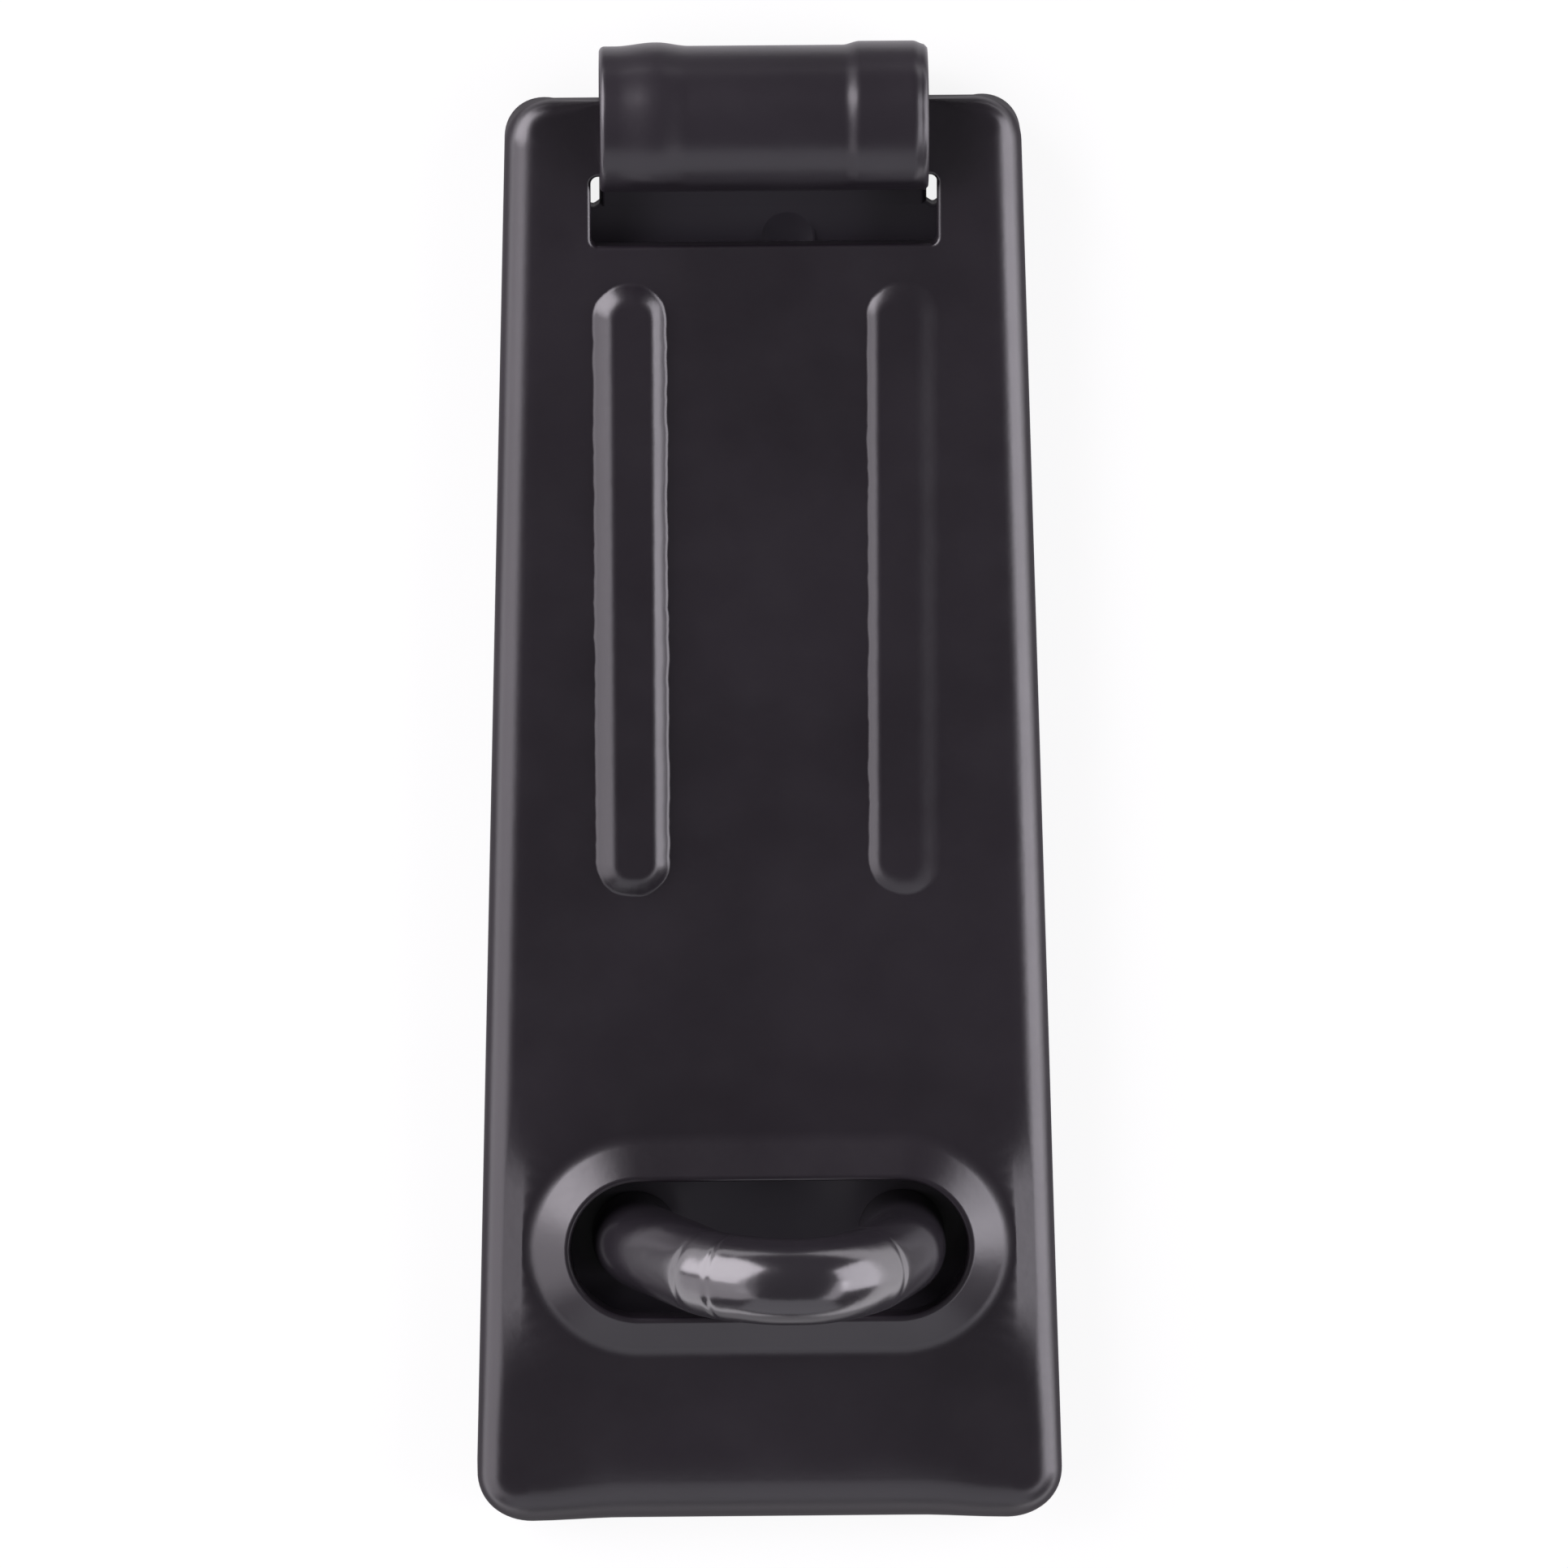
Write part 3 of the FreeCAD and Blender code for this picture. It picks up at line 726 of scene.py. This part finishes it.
def growMesh(name, tree, inputs):
    # runs a tree once on an empty mesh and keeps its result as a plain mesh
    seedling = addObject(name + "Maker", bpy.data.meshes.new(name + "Maker"))
    modifier = seedling.modifiers.new("grow", "NODES")
    modifier.node_group = tree
    for item in tree.interface.items_tree:
        if item.item_type == "SOCKET" and item.in_out == "INPUT":
            modifier[item.identifier] = inputs[item.name]
    evaluated = seedling.evaluated_get(bpy.context.evaluated_depsgraph_get())
    mesh = bpy.data.meshes.new_from_object(evaluated)
    seedling.modifiers.remove(modifier)
    bpy.data.objects.remove(seedling)
    mesh.name = name
    work = bmesh.new()
    work.from_mesh(mesh)
    settleMesh(work, mesh, name)
    mesh.shade_smooth()
    mesh.set_sharp_from_angle(angle=math.radians(sharpEdges["grown"]))
    return addObject(name, mesh)


def strapTree(sizes):
    # a rectangle with eased corners, led flat along the wall and then round the hinge axis
    tree, start, given = openTree("rolledStrap", (
        "Width", "Sheet", "Axis Y", "Axis Z", "Start Y", "Turn", "Rib Height"))
    line = start.node("GeometryNodeCurvePrimitiveLine", None, {"Start": (0, 0, 0), "End": (0, 1, 0)})
    line = start.node("GeometryNodeResampleCurve", None, {"Curve": line, "Count": sizes["points"]})
    middle = given["Axis Z"] - given["Sheet"] * 0.5
    straight = given["Axis Y"] - given["Start Y"]
    along = start.node("GeometryNodeSplineParameter", output="Factor") * (straight + middle * given["Turn"])
    before = (straight - along).maths("MAXIMUM", 0.0)
    turned = (along - straight).maths("MAXIMUM", 0.0) / middle
    place = start.node("ShaderNodeCombineXYZ", None, {
        "Y": given["Axis Y"] + middle * turned.maths("SINE") - before,
        "Z": given["Axis Z"] - middle * turned.maths("COSINE")})
    line = start.node("GeometryNodeStoreNamedAttribute", {"data_type": "FLOAT", "domain": "POINT"},
                      {"Geometry": line, "Name": "turned", "Value": turned})
    line = start.node("GeometryNodeSetPosition", None, {"Geometry": line, "Position": place})
    section = start.node("GeometryNodeCurvePrimitiveQuadrilateral", None, {
        "Width": given["Width"], "Height": given["Sheet"]})
    section = start.node("GeometryNodeFilletCurve", None, {"Curve": section, "Radius": sizes["edge"]})
    section = start.node("GeometryNodeResampleCurve", None, {"Curve": section, "Count": sizes["around"]})
    strap = start.node("GeometryNodeCurveToMesh", None, {
        "Curve": line, "Profile Curve": section, "Scale": 1.0, "Fill Caps": True})

    # two low ribs, on the outside of the roll alone
    where = start.node("GeometryNodeInputPosition")
    axis = start.node("ShaderNodeCombineXYZ", None, {"Y": given["Axis Y"], "Z": given["Axis Z"]})
    away = start.node("ShaderNodeVectorMath", {"operation": "SUBTRACT"}, {0: where, 1: axis})
    away = start.node("ShaderNodeVectorMath", {"operation": "MULTIPLY"}, {0: away, 1: (0, 1, 1)})
    reach = start.node("ShaderNodeVectorMath", {"operation": "LENGTH"}, {0: away}, "Value")
    across = start.node("ShaderNodeSeparateXYZ", None, {"Vector": where}, "X")
    rightSide = across.between(-1, 1)

    def sided(name):
        # the size of the left rib or of the right one
        left, right = sizes[name]
        return rightSide * (right - left) + left

    half = sided("ribHalves")
    fromRib = across.maths("ABSOLUTE") - sided("ribPlaces")
    innerFlank = fromRib.between(0 - half, sided("ribFlanks") - half)
    outerFlank = 1 - fromRib.between(half - sided("ribRims"), half)
    bent = start.node("GeometryNodeInputNamedAttribute", {"data_type": "FLOAT"}, {"Name": "turned"})
    ribRun = bent.between(*sizes["ribStart"]) * (1 - bent.between(*sizes["ribStop"]))
    coatSide = reach.between(*sizes["outside"])
    outward = start.node("ShaderNodeVectorMath", {"operation": "NORMALIZE"}, {0: away})
    push = start.node("ShaderNodeVectorMath", {"operation": "SCALE"}, {
        0: outward, "Scale": innerFlank * outerFlank * ribRun * coatSide * given["Rib Height"]})
    strap = start.node("GeometryNodeSetPosition", None, {"Geometry": strap, "Offset": push})
    return closeTree(tree, strap, given["Material"])


# Hinge plate: its flat screw plate with four countersunk holes and a round press mark, and its rolled strap
hingeSizes = {
    "halfWidth": 16.0, "low": -0.93, "shoulder": 44.8, "corner": 3.0, "cornerSteps": 10, "spacing": 0.15,
    "sheet": 2.0, "edge": 0.35, "backEdge": 0.1,
    # a small notch in the shoulder, beside each side of the strap
    "notch": 12.9, "notchHalf": 0.7, "notchDepth": 0.35,
    # countersunk holes: radius of the bore and of the sink, and the sink's own small edge
    "screwX": 10.0, "screwRows": (7.57, 32.57), "hole": 2.3, "sink": 3.9, "holeWall": 0.4, "sinkOut": 0.06,
    "sinkIn": 0.04, "sinkDrop": 0.05, "sinkSteps": 48,
    # the press mark: a shallow dish with a lip that rises towards its two sides
    "mark": (1.8, 42.0), "markRadius": 1.9, "markDepth": 0.3, "markShare": 0.93, "markSteps": 64,
    "markLip": 0.25, "lipCrest": 0.5, "lipRise": 2, "lipGap": 1.2,
}
strapSizes = {
    "width": 24.8, "axisY": 51.8226, "axisZ": 5.5049, "startY": 44.5, "turn": 304.0, "edge": 0.25,
    "points": 300, "around": 300,
    # distances from the axis between which the strap's outside starts
    "outside": (5.205, 5.405),
    # ribs, left and right: place and half width, then the runs of the inner and the outer flank
    "ribHeight": 0.28, "ribPlaces": (8.4, 9.1), "ribHalves": (2.8, 3.1), "ribFlanks": (2.4, 1.3),
    "ribRims": (3.0, 0.9), "ribStart": (1.0, 1.4), "ribStop": (3.9, 4.25),
}


def plateOutline(sizes):
    half = (sizes["shoulder"] - sizes["low"]) / 2
    outline = []
    plain = roundedStations((0.0, sizes["low"] + half), sizes["halfWidth"], half, sizes["corner"],
                            sizes["cornerSteps"], sizes["spacing"])
    for point, outward in plain:
        if straightEnd(outward, 1):
            aside = abs(abs(point.x) - sizes["notch"]) / sizes["notchHalf"]
            point = point - Vector((0, sizes["notchDepth"] * smooth(1 - aside)))
        outline.append((point, outward))
    return outline


def sinkHole(sheet, sizes, centre):
    # a countersunk hole; returns its first ring, on the front, and its last, on the back
    circle = arcStations(centre, sizes["sink"], 0, 360, sizes["sinkSteps"])[:-1]
    bore = sizes["sink"] - sizes["hole"]
    front = sizes["sheet"]
    rings = [sheet.level(circle, -sizes["sinkOut"], front, 0.0),
             sheet.level(circle, sizes["sinkIn"], front - sizes["sinkDrop"], -math.pi / 4),
             sheet.level(circle, bore, sizes["holeWall"], -math.pi / 4),
             sheet.level(circle, bore, 0.0, -math.pi / 2)]
    sheet.wall(rings)
    return rings[0], rings[-1]


def pressMark(sheet, sizes):
    circle = arcStations(sizes["mark"], sizes["markRadius"], 0, 360, sizes["markSteps"])[:-1]
    lip = sizes["markLip"]
    front = sizes["sheet"]
    crest = [front + lip * max(sizes["lipRise"] * abs(outward.x) - sizes["lipGap"], 0.0)
             for point, outward in circle]
    rings = [sheet.level(circle, -lip, front, 0.0),
             sheet.ring(circle, [-lip * sizes["lipCrest"]] * len(circle), crest, [0.0] * len(circle))]
    for share in shares(fineness["dish"]):
        slope = 2 * sizes["markDepth"] / sizes["markRadius"] * (1 - share)
        rings.append(sheet.level(circle, sizes["markRadius"] * sizes["markShare"] * share,
                                 front - sizes["markDepth"] * (1 - (1 - share) ** 2), -math.atan(slope)))
    sheet.wall(rings)
    sheet.flat(rings[-1], [], True)
    return rings[0]


def stampPlate(sheet, sizes):
    outline = plateOutline(sizes)
    edge = sizes["edge"]
    rings = []
    for turned in quarterTurn(fineness["edge"]):
        rings.append(sheet.level(outline, edge * (1 - math.sin(turned)),
                                 sizes["sheet"] - edge * (1 - math.cos(turned)), turned))
    rings.append(sheet.level(outline, 0.0, sizes["backEdge"], math.pi / 2))
    rings.append(sheet.level(outline, sizes["backEdge"], 0.0, math.pi))
    sheet.wall(rings)
    holes = [sinkHole(sheet, sizes, (x, y)) for x in (-sizes["screwX"], sizes["screwX"])
             for y in sizes["screwRows"]]
    fronts = [pair[0] for pair in holes] + [pressMark(sheet, sizes)]
    sheet.flat(rings[0], fronts, True)
    sheet.flat(rings[-1], [pair[1] for pair in holes], False)


def joinPieces(name, parts):
    # one mesh from several closed ones
    work = bmesh.new()
    for part in parts:
        work.from_mesh(part.data)
    whole = parts[0]
    work.to_mesh(whole.data)
    work.free()
    for part in parts[1:]:
        bpy.data.objects.remove(part)
    whole.data.shade_smooth()
    whole.data.set_sharp_from_angle(angle=math.radians(sharpEdges["joined"]))
    whole.name = name
    return whole


plateSheet = SheetMesh()
stampPlate(plateSheet, hingeSizes)
plate = finishSheet(plateSheet, "hingeScrewPlate")
plate.data.materials.append(coats["plate"])
strap = growMesh("hingeStrap", strapTree(strapSizes), {
    "Width": strapSizes["width"], "Sheet": hingeSizes["sheet"], "Axis Y": strapSizes["axisY"],
    "Axis Z": strapSizes["axisZ"], "Start Y": strapSizes["startY"], "Turn": math.radians(strapSizes["turn"]),
    "Rib Height": strapSizes["ribHeight"], "Material": coats["plate"],
})
hinge = joinPieces("hingePlateAndStrap", [plate, strap])
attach(hinge, "fixed")
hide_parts("hinge_plate")
print("hinge plate and strap made")

barLength, barSpan = barRun(stapleSizes)
staple = growMesh("bentStaple", bentBarTree(stapleSizes), {
    "Length": barLength, "Span": barSpan, "Half Gap": stapleSizes["halfGap"],
    "Middle Y": stapleSizes["middleY"], "Bar Radius": stapleSizes["barRadius"],
    "Leg Radius": stapleSizes["legRadius"], "Unevenness": stapleSizes["unevenness"],
    "Seed": stapleSizes["seed"], "Material": coats["staple"],
})
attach(staple, "fixed")
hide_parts("staple_loop")
print("staple bent, length", round(barLength, 2), "span", round(barSpan, 3))

# Camera: twelve degrees off the front, towards the hinge end, with a long lens.
# Its angles are in degrees, the rest is in millimetres.
cameraSetup = {
    "target": (1.3, 0.58, 6.5), "distance": 1500.0, "towardsHinge": 12.0, "towardsLeft": 1.0,
    "roll": 0.27, "lens": 452.8, "sensor": 36.0,
}


def addCamera(setup):
    data = bpy.data.cameras.new("photoCamera")
    data.sensor_width = setup["sensor"]
    data.lens = setup["lens"]
    data.clip_start = 0.1
    data.clip_end = 20.0
    camera = addObject("photoCamera", data)
    tilt = math.radians(setup["towardsHinge"])
    turn = math.radians(setup["towardsLeft"])
    back = Vector((-math.sin(turn), math.sin(tilt) * math.cos(turn), math.cos(tilt) * math.cos(turn)))
    up = (Vector((0, 1, 0)) - back * back.y).normalized()
    right = up.cross(back)
    turned = Matrix((right, up, back)).transposed() @ Matrix.Rotation(math.radians(-setup["roll"]), 3, "Z")
    place = Vector(setup["target"]) * mm + back * (setup["distance"] * mm)
    camera.matrix_world = Matrix.Translation(place) @ turned.to_4x4()
    bpy.context.scene.camera = camera


addCamera(cameraSetup)

# Floor: white in the picture, with the hasp's own soft shadow on it. In reflections its brightness is painted
# by place:
# painted light off both sides, weaker past the slot end and the hinge, and a painted shadow close to the
# leaf. Its distances from the leaf and its places along Y are in millimetres, its size in metres.
floorLook = {
    "size": 12.0, "drop": 0.02, "colour": (0.92, 0.92, 0.92), "glow": 0.87, "bright": (2.5, 2.4, 2.55),
    # in reflections the lowest level is a painted shadow close to the leaf, and the sides and both ends add
    # painted light
    "halfX": 20.9, "taper": 0.0279, "paintedShade": 0.22, "sides": 2.2, "sidesFrom": (7, 30),
    "slotEnd": 0.5, "slotEndFrom": (-78, -60), "hingeEnd": 0.65, "hingeFrom": (54.5, 57), "hingeTo": (62, 68),
}


def paintedFloorReflection(start, look):
    # painted light and painted shadow: how bright the floor is in reflections, from place to place, dim close
    # to the leaf
    place = start.node("ShaderNodeTexCoord", output="Object")
    x = start.node("ShaderNodeSeparateXYZ", None, {"Vector": place}, "X")
    y = start.node("ShaderNodeSeparateXYZ", None, {"Vector": place}, "Y")

    def within(signal, span):
        return signal.between(span[0] * mm, span[1] * mm)

    side = x.maths("ABSOLUTE") + look["taper"] * y - look["halfX"] * mm
    glow = within(side, look["sidesFrom"]) * look["sides"] + look["paintedShade"]
    glow = glow + (1 - within(y, look["slotEndFrom"])) * look["slotEnd"]
    return glow + within(y, look["hingeFrom"]) * (1 - within(y, look["hingeTo"])) * look["hingeEnd"]


def addFloor(look):
    half = look["size"] / 2
    mesh = bpy.data.meshes.new("paleFloor")
    corners = [(-half, -half, 0), (half, -half, 0), (half, half, 0), (-half, half, 0)]
    mesh.from_pydata(corners, [], [(0, 1, 2, 3)])
    floor = addObject("paleFloor", mesh)
    floor.location.z = -look["drop"] * mm
    material, tree, shader = newMaterial("palePaper")
    shader.inputs["Base Color"].default_value = (*look["colour"], 1)
    shader.inputs["Roughness"].default_value = 0.9
    start = Signal(tree)
    byCamera, byGlossy, byTransmission = (
        start.node("ShaderNodeLightPath", output=name)
        for name in ("Is Camera Ray", "Is Glossy Ray", "Is Transmission Ray"))
    seen = byCamera.maths("MAXIMUM", byGlossy).maths("MAXIMUM", byTransmission)
    # glossy rays see only this painted light and painted shadow, not the lamps' light on the floor
    share = paintedFloorReflection(start, look) * (1 / look["bright"][0])
    mirrored = colourMix(tree, share, (0, 0, 0, 1), (*look["bright"], 1))
    tint = colourMix(tree, byGlossy, (1, 1, 1, 1), mirrored)
    white = start.node("ShaderNodeEmission", None, {"Color": tint, "Strength": 1.0})
    paper = Signal(tree, shader.outputs[0])
    factor = (seen * look["glow"]).maths("MAXIMUM", byGlossy)
    both = start.node("ShaderNodeMixShader", None, {0: factor, 1: paper, 2: white})
    output = next(node for node in tree.nodes if node.type == "OUTPUT_MATERIAL")
    tree.links.new(both.socket, output.inputs["Surface"])
    mesh.materials.append(material)


addFloor(floorLook)

# Light: a large softbox low on each side, a weaker fill on the left, a narrow high strip on each side, a weak
# softbox beyond the slot end, and a dim room. Angles in degrees: azimuth from +X towards +Y, elevation above
# the floor. Sizes and distances in metres.
softboxes = {
    "leftSoftbox": {
        "azimuth": 149, "elevation": 22, "distance": 0.8, "width": 0.78, "height": 0.74,
        "level": 6.7, "colour": (1.0, 0.94, 1.02)},
    "leftFill": {
        "azimuth": 202, "elevation": 24, "distance": 0.8, "width": 0.60, "height": 0.70,
        "level": 2.0, "colour": (1.0, 0.94, 1.02)},
    "leftStrip": {
        "azimuth": 178, "elevation": 50, "distance": 0.85, "width": 0.75, "height": 0.25,
        "level": 0.8, "colour": (1.0, 0.95, 1.04)},
    "rightSoftbox": {
        "azimuth": 8, "elevation": 20, "distance": 0.8, "width": 0.84, "height": 0.66,
        "level": 4.9, "colour": (1.0, 0.95, 1.04)},
    "rightStrip": {
        "azimuth": -24, "elevation": 43, "distance": 0.85, "width": 0.65, "height": 0.25,
        "level": 2.4, "colour": (1.0, 0.95, 1.04)},
    "slotEndSoftbox": {
        "azimuth": 270, "elevation": 30, "distance": 0.9, "width": 1.1, "height": 0.75,
        "level": 0.8, "colour": (0.98, 0.96, 1.05)},
}
roomLevel = 0.085


def addSoftbox(name, setup):
    lamp = bpy.data.lights.new(name, "AREA")
    lamp.shape = "RECTANGLE"
    lamp.size = setup["width"]
    lamp.size_y = setup["height"]
    lamp.energy = math.pi * setup["width"] * setup["height"] * setup["level"]
    lamp.color = setup["colour"]
    box = addObject(name, lamp)
    azimuth = math.radians(setup["azimuth"])
    elevation = math.radians(setup["elevation"])
    away = Vector((math.cos(azimuth) * math.cos(elevation), math.sin(azimuth) * math.cos(elevation),
                   math.sin(elevation)))
    box.location = away * setup["distance"]
    box.rotation_mode = "QUATERNION"
    box.rotation_quaternion = away.to_track_quat("Z", "Y")


for boxName, boxSetup in softboxes.items():
    addSoftbox(boxName, boxSetup)
room = bpy.data.worlds.new("dimRoom")
room.use_nodes = True
background = room.node_tree.nodes["Background"]
background.inputs["Color"].default_value = (1, 1, 1, 1)
background.inputs["Strength"].default_value = roomLevel
bpy.context.scene.world = room
bpy.context.scene.view_settings.view_transform = "Standard"
print("camera, floor and lights set")
